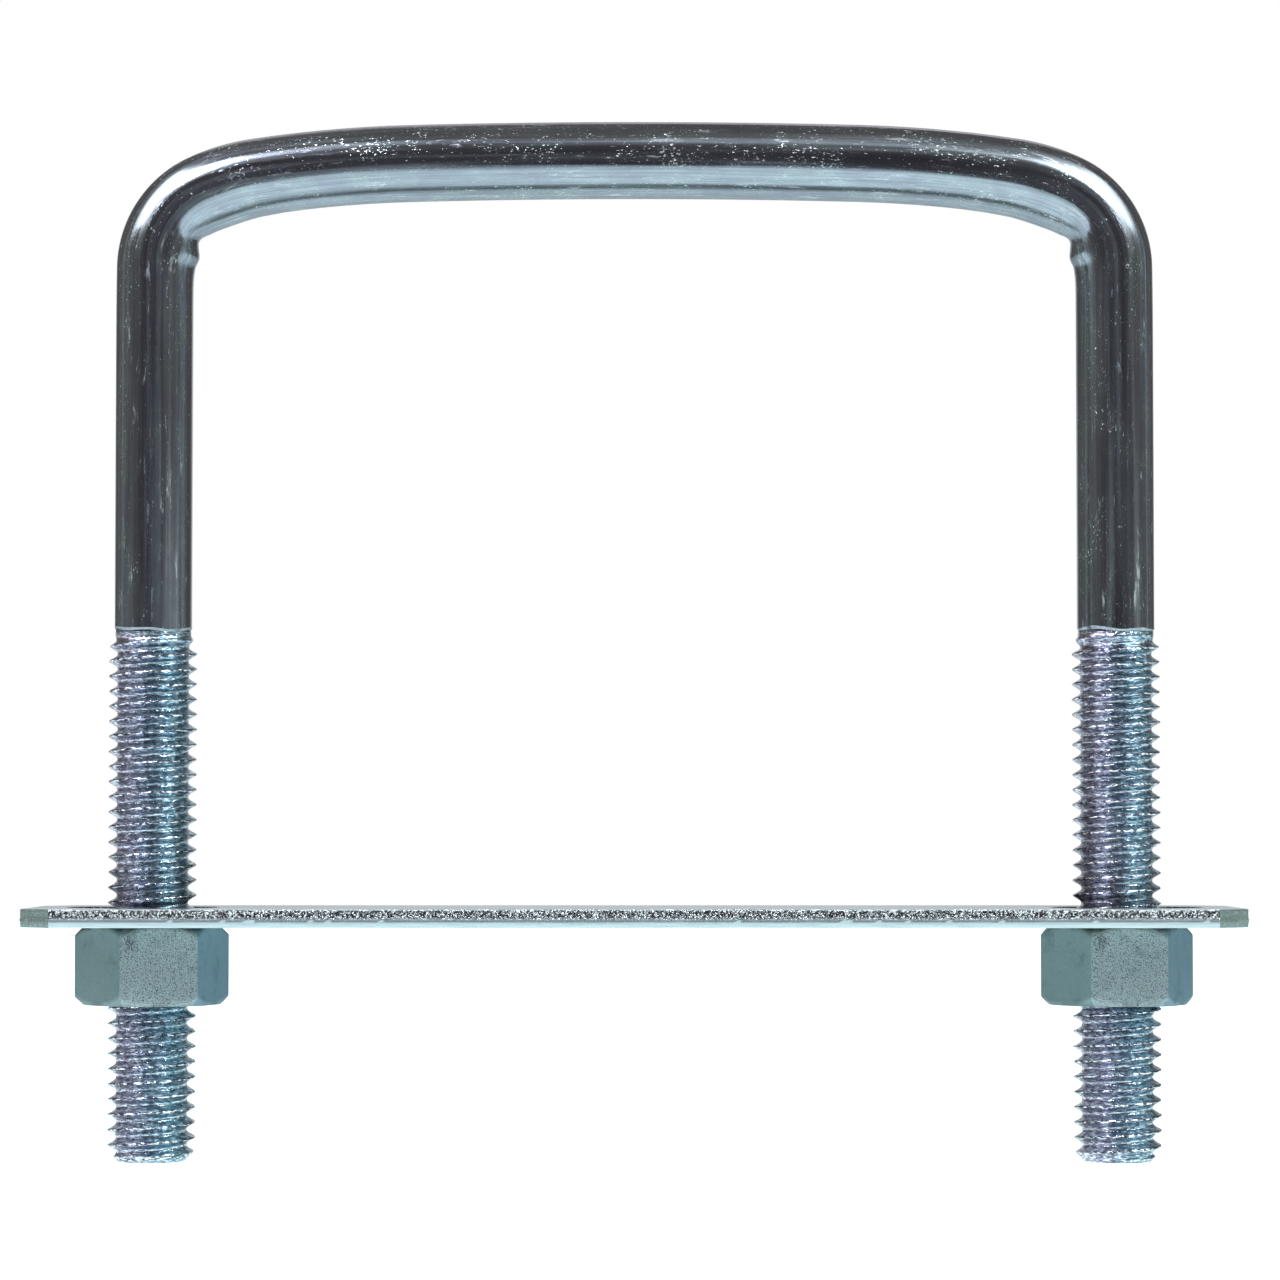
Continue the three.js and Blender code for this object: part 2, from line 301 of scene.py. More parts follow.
def makeBolt(materials):
    rows = halfRodRows()
    turn = np.linspace(0, 1, bolt["sides"] + 1)
    angle = 2 * math.pi * turn
    starts = np.array([row[0] for row in rows])[:, None]
    climbs = np.array([row[1] for row in rows])[:, None]
    rings = np.array([-1 if row[2] is None else row[2] for row in rows])[:, None]
    climbing = np.clip(starts + thread["pitch"] * turn, 0, thread["length"])
    distance = np.where(climbs, climbing, starts + 0 * turn)
    turns = np.broadcast_to(turn, distance.shape)
    # thread, fading into a slightly smaller neck under the plain rod
    neck = bolt["rodRadius"] - bolt["neckDrop"]
    fade = smoothStep(distance, thread["length"] - thread["runout"] * thread["pitch"], thread["length"])
    radius = threadRadius(distance, turns) * (1 - fade) + neck * fade
    radius = np.minimum(radius, bolt["endRadius"] + distance)
    around, alongLeg = thread["raggedAround"], thread["raggedAlong"]
    ragged = np.array([[noise.noise(Vector((around * math.cos(a), around * math.sin(a), d * alongLeg)))
                        for a, d in zip(angle, row)] for row in distance])
    crestShare = threadRise(distance, turns) * (1 - fade)
    radius = radius - thread["raggedDepth"] * crestShare * np.clip(ragged + thread["raggedShare"], 0, 1)
    uneven = sum(height * np.sin(waves * angle + phase) for height, waves, phase in bolt["shoulderWaves"])
    low, high = (thread["length"] + edge + uneven for edge in bolt["shoulder"])
    shoulder = neck + (bolt["rodRadius"] - neck) * smoothStep(distance, low, high)
    radius = np.where(distance >= thread["length"], shoulder, radius)
    for move, place, length, side, narrow in bolt["bending"]:
        near = np.exp(-(((distance - straightLength - place) / length) ** 2))
        radius = radius + move * (near * np.clip(side * np.cos(angle), 0, 1) ** narrow)
    radius = np.where(rings >= 0, rings * bolt["endRadius"], radius)

    x, z, heading = onHalfRod(distance)
    outward, forward = radius * np.cos(angle), radius * np.sin(angle)
    left = np.stack([x - outward * np.sin(heading), -forward, z + outward * np.cos(heading)], -1)
    # the right half is the left one turned half a turn about Z, which keeps the thread's hand
    right = left * np.array([-1, -1, 1])
    points = np.concatenate([left.reshape(-1, 3), right.reshape(-1, 3)])
    columns = bolt["sides"] + 1
    halfFaces = gridFaces(len(rows), columns)
    offset = len(rows) * columns
    faces = halfFaces + [tuple(v + offset for v in face) for face in halfFaces]
    pastThread = distance.reshape(-1) > thread["length"] + 0.01  # clear of the last thread row
    kinds = [0 if pastThread[face[2]] else 1 for face in halfFaces]
    # the pattern's place runs on past the crown's middle and down the other leg
    along = np.stack([outward, forward, distance - halfLength], -1)
    side = -np.cos(angle) * np.ones_like(distance)
    attributes = {
        "alongRod": np.concatenate([along.reshape(-1, 3), (along * [1, -1, -1]).reshape(-1, 3)]),
        "acrossLeg": np.concatenate([side.reshape(-1), -side.reshape(-1)]),
        "upFlank": np.concatenate([crestShare.reshape(-1)] * 2),
    }
    return makePiece("bent_rod", points, faces, materials, kinds * 2, attributes, bolt["sharpAngle"])


def drawnRodSteel():
    # drawn steel rod, bright zinc plated: fine lines along the rod from the die, a deep gloss that mirrors
    # what stands round it, and pale scuffs and nicks from handling
    material, tree = startMaterial("bright_zinc_drawn_rod")
    where = addNode(tree, "Attribute", attribute_name="alongRod").outputs["Vector"]
    pattern = addPatterns(tree, where, bolt["rodPatterns"])
    crowded = addNode(tree, "MapRange", (pattern["mottle"], 0.35, 0.7, 0.08, -0.035))
    # the crown takes more knocks than the legs
    signedPlace = addNode(tree, "SeparateXYZ", [where]).outputs["Z"]
    fromMiddle = addNode(tree, "Math", [signedPlace], operation="ABSOLUTE")
    few, many = bolt["knocked"]
    onLeg = addNode(tree, "MapRange", (fromMiddle, halfLength - many, halfLength - few, 0, 0.035))
    fewer = addNode(tree, "Math", (crowded, onLeg), operation="ADD")
    nickLevel = addNode(tree, "Math", (pattern["nicks"], fewer), operation="SUBTRACT")
    nickHere = addNode(tree, "MapRange", (nickLevel, 0.6, 0.66))
    scuffHere = addNode(tree, "MapRange", (pattern["scuffs"], 0.58, 0.7, 0, 0.6))
    marks = addNode(tree, "Math", (nickHere, scuffHere), operation="MAXIMUM")
    thick = addNode(tree, "MapRange", (pattern["mottle"], 0.35, 0.68))
    plating = {0: thick, 6: hexColour("#8d939d"), 7: hexColour("#9ba7aa")}
    plated = addNode(tree, "Mix", plating, data_type="RGBA")
    lineHere = addNode(tree, "MapRange", (pattern["dieLines"], 0.42, 0.6, 0, 0.55))
    lined = addNode(tree, "Mix", {0: lineHere, 6: plated, 7: hexColour("#747b80")}, data_type="RGBA")
    colour = addNode(tree, "Mix", {0: marks, 6: lined, 7: hexColour("#e8eef0")}, data_type="RGBA")
    gloss = addNode(tree, "MapRange", (pattern["broadLines"], 0.35, 0.65, 0.1, 0.3))
    roughness = addNode(tree, "Mix", {0: marks, 2: gloss, 3: 0.62}, data_type="FLOAT")
    height = addNode(tree, "Math", (pattern["dieLines"], nickHere), operation="ADD")
    bump = addNode(tree, "Bump", {"Height": height, "Strength": 0.3, "Distance": 0.02 * mm})
    finishMetal(tree, colour, roughness, bump)
    return material


def rolledThreadSteel():
    # rolled thread, zinc plated and blue passivated: satin flanks torn a little along the turn, a film tint in
    # random patches with a painted sheen, lilac on each leg's -X side and teal on its +X side, and worn
    # crests, dull grey with painted highlights, and painted glints over the flanks
    material, tree = startMaterial("blue_zinc_rolled_thread")
    where = addNode(tree, "Attribute", attribute_name="alongRod").outputs["Vector"]
    side = addNode(tree, "Attribute", attribute_name="acrossLeg").outputs["Fac"]
    rise = addNode(tree, "Attribute", attribute_name="upFlank").outputs["Fac"]
    pattern = addPatterns(tree, where, bolt["threadPatterns"])
    tears = pattern["tears"]
    # painted sheen: the film's tint turns from lilac on the -X side of each leg to teal on the +X side,
    # shifted at random by the film noise
    filmPatchesAndSideSheen = addNode(tree, "Math", (pattern["film"], 0.9, side), operation="MULTIPLY_ADD")
    filmAndSideSheenShare = addNode(tree, "MapRange", (filmPatchesAndSideSheen, -0.25, 0.95))
    lilacToTealSheen = {0: filmAndSideSheenShare, 6: hexColour("#a7a2b6"), 7: hexColour("#86a8b7")}
    filmTintAndPaintedSheen = addNode(tree, "Mix", lilacToTealSheen, data_type="RGBA")
    # worn crests, dull grey with near-white painted highlights broken up by the tear noise
    dulled = addNode(tree, "MapRange", (tears, 0.44, 0.5))
    paintedHighlightToDull = {0: dulled, 6: hexColour("#f4f4fa"), 7: hexColour("#4a464c")}
    crestWearAndHighlight = addNode(tree, "Mix", paintedHighlightToDull, data_type="RGBA")
    onCrest = addNode(tree, "MapRange", (rise, 0.7, 0.97, 0, 0.9))
    crested = addNode(tree, "Mix", {0: onCrest, 6: filmTintAndPaintedSheen, 7: crestWearAndHighlight}, data_type="RGBA")
    inTear = addNode(tree, "MapRange", (tears, 0.51, 0.58, 0, 0.8))
    darkened = addNode(tree, "Mix", {0: inTear, 6: crested, 7: hexColour("#2f323b")}, data_type="RGBA")
    # near-white painted glints where the tear noise is low, on flanks and crests alike
    glintHere = addNode(tree, "MapRange", (tears, 0.41, 0.47, 0.9, 0))
    colour = addNode(tree, "Mix", {0: glintHere, 6: darkened, 7: hexColour("#eef3f6")}, data_type="RGBA")
    roughness = addNode(tree, "MapRange", (tears, 0.4, 0.6, 0.1, 0.3))
    bump = addNode(tree, "Bump", {"Height": tears, "Strength": 1.0, "Distance": 0.055 * mm})
    finishMetal(tree, colour, roughness, bump)
    return material


bentRod = makeBolt([drawnRodSteel(), rolledThreadSteel()])
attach(bentRod, "bolt_body")
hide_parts("u_bolt")
print("bolt made")

# ---- nuts ----
nut = {
    "acrossFlats": 14.1,
    "height": 8.2,
    "faceShare": 1.02,  # the round bearing face, as a share of the width across flats
    "chamferAngle": 43,
    "cornerRound": 0.2,
    "edgeRound": 0.07,
    "clearance": 0.22,
    "mouth": 5.12,  # radius of the countersinks at the faces
    "angles": {"left_nut": 12, "right_nut": 5},
    "flatRings": 3,  # the face and its rounded edge, which the worn corners don't reach
    "flatPoints": 11,
    "cornerPoints": 5,
    "wallRows": 13,
    "wallMargin": 0.06,  # share of the wall that stays clear of rows at each end
    "boreMargin": 2,  # how far past the faces the bore's rows are looked for
    "cornerWear": 0.9,
    "sharpAngle": 50,
    # one bruise a nut: how far round it is from the corner nearest +X, in radians, how far it spreads, and how
    # far down it is from the top face
    "bruiseTurn": 4 * math.pi / 3 + 0.13,
    "bruiseWidth": 0.7,
    "bruiseHeight": 1.5,
    "bruiseDown": 1.4,
    # stretch by direction, size in mm, detail and roughness
    "bodyPatterns": {
        "pits": ((1, 1, 1), 0.13, 4.0, 0.75),
        "stains": ((1, 1, 1), 2.6, 5.0, 0.65),
        "cloud": ((1, 1, 0.6), 5.0, 2.0, 0.6),
    },
    "borePatterns": {
        "cuts": ((0.5, 0.5, 3), 0.4, 4.0, 0.6),  # a tap's marks are about 0.05 mm, drawn coarser
    },
}


def hexOutline():
    # one turn of a hexagon with rounded corners, from a corner: angle, radius and how near a corner's middle
    flat, fillet = nut["acrossFlats"] / 2, nut["cornerRound"]
    outline = []
    for corner in range(6):
        direction = corner * math.pi / 3
        middle = (flat - fillet) / math.cos(math.pi / 6)
        for n in range(nut["cornerPoints"]):
            spread = math.radians(-30 + 60 * n / (nut["cornerPoints"] - 1))
            x = middle + fillet * math.cos(spread)
            y = fillet * math.sin(spread)
            outline.append((direction + math.atan2(y, x), math.hypot(x, y), math.cos(3 * spread)))
        edge = outline[-1][0] - direction
        for n in range(1, nut["flatPoints"] + 1):
            across = direction + edge + (math.pi / 3 - 2 * edge) * n / (nut["flatPoints"] + 1)
            away = across - direction - math.pi / 6
            outline.append((across, flat / math.cos(away), 0.0))
    outline.append((outline[0][0] + 2 * math.pi, outline[0][1], outline[0][2]))
    return (np.array(values) for values in zip(*outline))


def makeNut(name, axisX, materials):
    onRight = axisX > 0
    spin = math.radians(nut["angles"][name]) + (math.pi if onRight else 0)
    angle, hexRadius, corner = hexOutline()
    low, high = nutLow[2], nutHigh[2]
    slope = math.radians(nut["chamferAngle"])
    face = nut["acrossFlats"] / 2 * nut["faceShare"]
    drop = np.maximum(hexRadius - face, 0) * math.tan(slope)
    edge = nut["edgeRound"]
    faceEdge = np.minimum(face, hexRadius - 1.6 * edge)
    chamferFoot = low + np.maximum(drop - edge * math.sin(slope), 0.4 * edge)
    level = np.ones_like(angle)
    # radius, height and wear of each ring: the underside, its rounded edge, the chamfer, then the wall, kept
    # apart by shares of the edge's radius
    rings = [
        (nut["mouth"] * level, low * level, 0),
        (faceEdge - edge, low * level, 0),
        (faceEdge, (low + 0.2 * edge) * level, 0.2),
        (hexRadius - edge * math.cos(slope), chamferFoot, 0.6),
        (hexRadius, low + drop + edge, 1),
    ]
    endRings = rings[:]
    wall = np.linspace(nut["wallMargin"], 1 - nut["wallMargin"], nut["wallRows"])
    rings += [(hexRadius, low + drop + (nut["height"] - 2 * drop) * share, 0) for share in wall]
    rings += [(radius, low + high - height, worn) for radius, height, worn in reversed(endRings)]
    outerRows = len(rings)
    # the leg's own thread plus clearance, cut by the countersinks
    # turns are counted from the -X side on the left leg and from the +X side on the right one
    worldTurn = (angle + spin - math.pi) / (2 * math.pi)
    if onRight:
        worldTurn = worldTurn - 0.5
    offset = worldTurn[0] - math.floor(worldTurn[0])
    turn = worldTurn - worldTurn[0]
    for start in reversed(threadRowStarts(low - nut["boreMargin"], high + nut["boreMargin"])):
        height = np.clip(start + thread["pitch"] * (turn + offset), low, high)
        radius = threadRadius(height, turn + offset) + nut["clearance"]
        fromFace = np.minimum(height - low, high - height)
        rings.append((np.maximum(radius, nut["mouth"] - fromFace), height, 0))
    points, wear, bruises = [], [], []
    bruiseAngle = math.radians(nut["angles"][name]) + nut["bruiseTurn"]
    fromBruise = (angle + spin - bruiseAngle + math.pi) % (2 * math.pi) - math.pi
    aroundFlat = fromBruise * nut["acrossFlats"] / 2
    for number, (radius, height, worn) in enumerate(rings):
        x, y = radius * np.cos(angle + spin) + axisX, radius * np.sin(angle + spin)
        points.append(np.stack([x, y, height], -1))
        downFace = (height - high + nut["bruiseDown"]) / nut["bruiseHeight"]
        bruises.append(np.exp(-((aroundFlat / nut["bruiseWidth"]) ** 2) - downFace ** 2))
        onWall = nut["flatRings"] <= number < outerRows - nut["flatRings"]
        wear.append(np.maximum(worn * level, corner * (nut["cornerWear"] if onWall else 0)))
    columns = len(angle)
    faces = gridFaces(len(rings), columns, closed=True)
    kinds = [1 if face[0] // columns >= outerRows - 1 else 0 for face in faces]
    flatMiddle = (np.floor(angle / (math.pi / 3)) + 0.5) * math.pi / 3
    attributes = {
        "worn": np.concatenate(wear),
        # which way each flat faces across X, read for the painted light on the flats
        "flatFacingForPaintedLight": np.tile(np.cos(flatMiddle + spin), len(rings)),
        "bruise": np.concatenate(bruises),
    }
    points = np.concatenate(points)
    piece = makePiece(name + "_body_fine", points, faces, materials, kinds, attributes, nut["sharpAngle"])
    weighted = piece.modifiers.new("flatFaces", "WEIGHTED_NORMAL")
    weighted.keep_sharp = True
    return piece


def formedNutSteel():
    # cold formed hex nut, zinc plated and blue passivated: satin flats with fine pits and dull patches, and
    # grey edges where the film has rubbed off; painted light by the way each flat faces: paler on the flats
    # facing forward and back, grey-green facing -X and blue facing +X, and the pits fainter on the flats
    # facing the sides
    material, tree = startMaterial("blue_zinc_formed_nut")
    where = addNode(tree, "TexCoord").outputs["Object"]
    worn = addNode(tree, "Attribute", attribute_name="worn").outputs["Fac"]
    side = addNode(tree, "Attribute", attribute_name="flatFacingForPaintedLight").outputs["Fac"]
    bruise = addNode(tree, "Attribute", attribute_name="bruise").outputs["Fac"]
    awayFromMiddle = addNode(tree, "Math", [side], operation="ABSOLUTE")
    pattern = addPatterns(tree, where, nut["bodyPatterns"], 1 / mm)
    # painted light on the flats by the way they face: grey-green towards -X and blue towards +X with a random
    # cloud, paler forward and back
    paintedSideLightTint = addNode(tree, "Math", (pattern["cloud"], 0.8, side), operation="MULTIPLY_ADD")
    paintedSideLightShare = addNode(tree, "MapRange", (paintedSideLightTint, 0, 1))
    paintedSideLightGreyToBlue = {0: paintedSideLightShare, 6: hexColour("#7b9091"), 7: hexColour("#7193a0")}
    sides = addNode(tree, "Mix", paintedSideLightGreyToBlue, data_type="RGBA")
    paintedFrontToSideLight = addNode(tree, "MapRange", (awayFromMiddle, 0.3, 0.6))
    base = addNode(tree, "Mix", {0: paintedFrontToSideLight, 6: hexColour("#a0b0b1"), 7: sides}, data_type="RGBA")
    stainHere = addNode(tree, "MapRange", (pattern["stains"], 0.56, 0.72, 0, 0.7))
    stained = addNode(tree, "Mix", {0: stainHere, 6: base, 7: hexColour("#5d7478")}, data_type="RGBA")
    bruised = addNode(tree, "Math", (bruise, 0.26, pattern["pits"]), operation="MULTIPLY_ADD")
    scrapeHere = addNode(tree, "MapRange", (bruised, 0.62, 0.74, 0, 0.85))
    scraped = addNode(tree, "Mix", {0: scrapeHere, 6: stained, 7: hexColour("#39403f")}, data_type="RGBA")
    pitDepth = addNode(tree, "MapRange", (awayFromMiddle, 0.4, 0.62, 1.0, 0.3))
    inPit = addNode(tree, "MapRange", (pattern["pits"], 0.5, 0.62))
    pitHere = addNode(tree, "Math", (inPit, pitDepth), operation="MULTIPLY")
    pitted = addNode(tree, "Mix", {0: pitHere, 6: scraped, 7: hexColour("#2f3b3e")}, data_type="RGBA")
    rubbed = addNode(tree, "MapRange", (worn, 0.3, 1.0, 0, 0.5))
    colour = addNode(tree, "Mix", {0: rubbed, 6: pitted, 7: hexColour("#7d827c")}, data_type="RGBA")
    roughness = addNode(tree, "MapRange", (pattern["stains"], 0.3, 0.7, 0.4, 0.56))
    relief = {"Height": pitHere, "Strength": 0.5, "Distance": 0.03 * mm, "Filter Width": 0.3}
    finishMetal(tree, colour, roughness, addNode(tree, "Bump", relief))
    return material


def tappedSteel():
    # tapped nut thread: thin zinc over cut steel, darker than the outside and streaked round the turn
    material, tree = startMaterial("thin_zinc_tapped_thread")
    where = addNode(tree, "TexCoord").outputs["Object"]
    cuts = addPatterns(tree, where, nut["borePatterns"], 1 / mm)["cuts"]
    cutShare = addNode(tree, "MapRange", (cuts, 0.35, 0.65))
    darkToPale = {0: cutShare, 6: hexColour("#6f7d84"), 7: hexColour("#9fb0b5")}
    colour = addNode(tree, "Mix", darkToPale, data_type="RGBA")
    bump = addNode(tree, "Bump", {"Height": cuts, "Strength": 0.4, "Distance": 0.03 * mm})
    finishMetal(tree, colour, 0.4, bump)
    return material


nutMaterials = [formedNutSteel(), tappedSteel()]
for nutName, nutX in (("left_nut", -bolt["legAxis"]), ("right_nut", bolt["legAxis"])):
    fineNut = makeNut(nutName, nutX, nutMaterials)
    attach(fineNut, nutName + "_body")
    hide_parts(nutName)
print("nuts made")

# ---- strap plate ----
strap = {
    "cornerCut": 3.4,
    "slotRadius": 5.125,
    "slotReach": 2.825,  # from the slot's middle to the middle of its round end
    "slotSpacing": 103.6,
    "slotSteps": 24,  # in a round end
    "edgeStep": 0.6,
    # share of the thickness from the underside, how far in from the outline, and how torn: a rolled-over
    # lower edge, a smooth sheared band, then the torn band up to the burr
    "edge": [(0.0, 0.16, 0), (0.02, 0.11, 0), (0.06, 0.085, 0), (0.25, 0.04, 0), (0.43, 0.0, 0),
             (0.48, 0.03, 0.6), (0.6, 0.045, 1), (0.72, 0.05, 1), (0.86, 0.05, 1), (0.95, 0.05, 0.9),
             (1.0, 0.1, 0.4)],
    "tearDepth": 0.06,
    "tearAlong": 2.4,  # noise steps in a mm
    "tearUp": 9,  # noise steps in the thickness
    "tearApart": 5,  # noise steps between one loop's tears and the next one's
    "tearShare": 0.4,  # a higher share tears more of the edge
    "sharpAngle": 35,
    "mergeWithin": 1e-5,
    # stretch by direction, size in mm, detail and roughness
    "facePatterns": {
        "lines": ((0.03, 1, 1), 0.25, 4.0, 0.6),  # rolling lines are about 0.05 mm, drawn coarser
        "cloud": ((0.5, 1, 1), 7.0, 4.0, 0.6),
        "rubs": ((1, 1, 1), 0.8, 6.0, 0.8),
    },
    "edgePatterns": {
        "grains": ((1, 1, 1), 0.19, 3.0, 0.8),  # torn grains are about 0.05 mm, drawn coarser
        "scores": ((0.05, 0.05, 1), 0.2, 3.0, 0.6),  # and so are the blade's scores
    },
    "cornerPatterns": {
        "dots": ((1, 1, 1), 0.14, 3.0, 0.7),  # and so is the grain of the cropped corners
    },
}


def alongLoop(corners, step):
    # points along a closed loop of straight sides, about step apart, with which side each is on
    points = []
    for n, (start, end) in enumerate(zip(corners, corners[1:] + corners[:1])):
        length = (end - start).length
        count = max(1, round(length / step))
        points += [(start + (end - start) * i / count, n) for i in range(count)]
    return points


def strapOutline():
    # points of the outline, and whether each starts a stretch of a cropped corner
    halfX, halfY, cut = plateHigh[0], plateHigh[1], strap["cornerCut"]
    corners = [(-halfX + cut, -halfY), (halfX - cut, -halfY), (halfX, -halfY + cut), (halfX, halfY - cut),
               (halfX - cut, halfY), (-halfX + cut, halfY), (-halfX, halfY - cut), (-halfX, -halfY + cut)]
    loop = alongLoop([Vector(corner) for corner in corners], strap["edgeStep"])
    return [(point, side % 2 == 1) for point, side in loop]


def slotOutline(middle):
    radius, reach, steps = strap["slotRadius"], strap["slotReach"], strap["slotSteps"]
    corners = []
    for side in (1, -1):
        for n in range(steps + 1):
            spread = math.pi * (n / steps - 0.5)
            x = middle + side * (reach + radius * math.cos(spread))
            corners.append(Vector((x, side * radius * math.sin(spread))))
    return [(point, False) for point, _ in alongLoop(corners, 2 * strap["edgeStep"])]


def inSlot(place):
    past = max(0.0, abs(abs(place.x) - strap["slotSpacing"] / 2) - strap["slotReach"])
    return math.hypot(past, place.y) < strap["slotRadius"]


def inwardNormals(loop):
    points = [point for point, _ in loop]
    normals = []
    for n, point in enumerate(points):
        ahead = (points[(n + 1) % len(points)] - point).normalized()
        behind = (point - points[n - 1]).normalized()
        along = (ahead + behind).normalized()
        normals.append(Vector((-along.y, along.x)) / max(0.5, math.sqrt((1 + ahead.dot(behind)) / 2)))
    return normals


def makeStrap(materials):
    thickness = plateHigh[2] - plateLow[2]
    points, faces, kinds, torn = [], [], [], []
    lowRims, highRims = [], []
    loops = [strapOutline(), slotOutline(-strap["slotSpacing"] / 2), slotOutline(strap["slotSpacing"] / 2)]
    for number, loop in enumerate(loops):
        normals = inwardNormals(loop)
        intoMetal = 1 if number == 0 else -1
        base = len(points)
        for up, inset, rough in strap["edge"]:
            noiseUp = up * strap["tearUp"] + number * strap["tearApart"]
            for (point, _), normal in zip(loop, normals):
                noisePlace = (point.x * strap["tearAlong"], point.y * strap["tearAlong"], noiseUp)
                tear = max(0.0, noise.noise(Vector(noisePlace)) + strap["tearShare"])
                moved = point + normal * intoMetal * (inset + strap["tearDepth"] * rough * tear)
                points.append((moved.x, moved.y, plateLow[2] + up * thickness))
                torn.append(rough)
        count, levels = len(loop), len(strap["edge"])
        for level in range(levels - 1):
            for n, (_, cropped) in enumerate(loop):
                a, b = base + level * count + n, base + level * count + (n + 1) % count
                faces.append((a, b, b + count, a + count))
                kinds.append(2 if cropped else 1)
        lowRims.append(range(base, base + count))
        highRims.append(range(base + (levels - 1) * count, base + levels * count))
    # both faces, triangulated between the outline and the slots
    for rims in (lowRims, highRims):
        numbers = [v for rim in rims for v in rim]
        edges, start = [], 0
        for rim in rims:
            edges += [(start + n, start + (n + 1) % len(rim)) for n in range(len(rim))]
            start += len(rim)
        flat = [Vector(points[v][:2]) for v in numbers]
        _, _, found, original, _, _ = geometry.delaunay_2d_cdt(flat, edges, [], 0, 1e-6)
        for face in found:
            corners = [numbers[original[v][0]] for v in face]
            middle = sum((Vector(points[v][:2]) for v in corners), Vector((0, 0))) / 3
            if not inSlot(middle):
                faces.append(tuple(corners))
                kinds.append(0)
    sharpAngle, mergeWithin = strap["sharpAngle"], strap["mergeWithin"]
    return makePiece("sheared_strap", points, faces, materials, kinds, {"torn": torn}, sharpAngle, mergeWithin)


def rolledStripSteel():
    # rolled steel strip, bright zinc plated: satin, with faint rolling lines along the strip and light rub
    # marks
    material, tree = startMaterial("bright_zinc_rolled_strip")
    where = addNode(tree, "TexCoord").outputs["Object"]
    pattern = addPatterns(tree, where, strap["facePatterns"], 1 / mm)
    cloudShare = addNode(tree, "MapRange", (pattern["cloud"], 0.36, 0.64))
    coolToWarm = {0: cloudShare, 6: hexColour("#a9bcc0"), 7: hexColour("#c2c9c0")}
    base = addNode(tree, "Mix", coolToWarm, data_type="RGBA")
    lineHere = addNode(tree, "MapRange", (pattern["lines"], 0.4, 0.65, 0, 0.35))
    lined = addNode(tree, "Mix", {0: lineHere, 6: base, 7: hexColour("#7d8b8e")}, data_type="RGBA")
    rubHere = addNode(tree, "MapRange", (pattern["rubs"], 0.62, 0.72, 0, 0.7))
    colour = addNode(tree, "Mix", {0: rubHere, 6: lined, 7: hexColour("#e4ecee")}, data_type="RGBA")
    roughness = addNode(tree, "MapRange", (pattern["cloud"], 0.3, 0.7, 0.27, 0.4))
    bump = addNode(tree, "Bump", {"Height": pattern["lines"], "Strength": 0.2, "Distance": 0.02 * mm})
    finishMetal(tree, colour, roughness, bump)
    return material


def shearedEdgeSteel():
    # sheared edge of the strip: a smooth pale band where the blade slid, and a torn band of dark grains and
    # near-white ones, a painted sparkle
    material, tree = startMaterial("zinc_over_sheared_edge")
    where = addNode(tree, "TexCoord").outputs["Object"]
    torn = addNode(tree, "Attribute", attribute_name="torn").outputs["Fac"]
    pattern = addPatterns(tree, where, strap["edgePatterns"], 1 / mm)
    scoreHere = addNode(tree, "MapRange", (pattern["scores"], 0.4, 0.65, 0, 0.5))
    paleToScored = {0: scoreHere, 6: hexColour("#b9c5c7"), 7: hexColour("#98a7aa")}
    smooth = addNode(tree, "Mix", paleToScored, data_type="RGBA")
    grainShare = addNode(tree, "MapRange", (pattern["grains"], 0.5, 0.6))
    # the torn band's grains, dark or near-white: the near-white ones are painted sparkle
    darkGrainToPaintedSparkle = {0: grainShare, 6: hexColour("#2d2a2d"), 7: hexColour("#dde2e1")}
    grainAndPaintedSparkle = addNode(tree, "Mix", darkGrainToPaintedSparkle, data_type="RGBA")
    colour = addNode(tree, "Mix", {0: torn, 6: smooth, 7: grainAndPaintedSparkle}, data_type="RGBA")
    roughness = addNode(tree, "MapRange", (torn, 0, 1, 0.36, 0.3))
    lift = addNode(tree, "Math", (pattern["grains"], torn), operation="MULTIPLY")
    bump = addNode(tree, "Bump", {"Height": lift, "Strength": 1.0, "Distance": 0.1 * mm})
    finishMetal(tree, colour, roughness, bump)
    return material


def croppedCornerSteel():
    # cropped corners: an even grain from the cropping tool under thin zinc, dull and darker than the rest
    material, tree = startMaterial("thin_zinc_cropped_corner")
    where = addNode(tree, "TexCoord").outputs["Object"]
    dots = addPatterns(tree, where, strap["cornerPatterns"], 1 / mm)["dots"]
    dotShare = addNode(tree, "MapRange", (dots, 0.5, 0.62))
    darkToPale = {0: dotShare, 6: hexColour("#76857f"), 7: hexColour("#a0aea9")}
    colour = addNode(tree, "Mix", darkToPale, data_type="RGBA")
    bump = addNode(tree, "Bump", {"Height": dots, "Strength": 0.5, "Distance": 0.03 * mm})
    finishMetal(tree, colour, 0.5, bump)
    return material


strapPiece = makeStrap([rolledStripSteel(), shearedEdgeSteel(), croppedCornerSteel()])
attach(strapPiece, "plate_body")
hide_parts("strap_plate")
print("strap made")

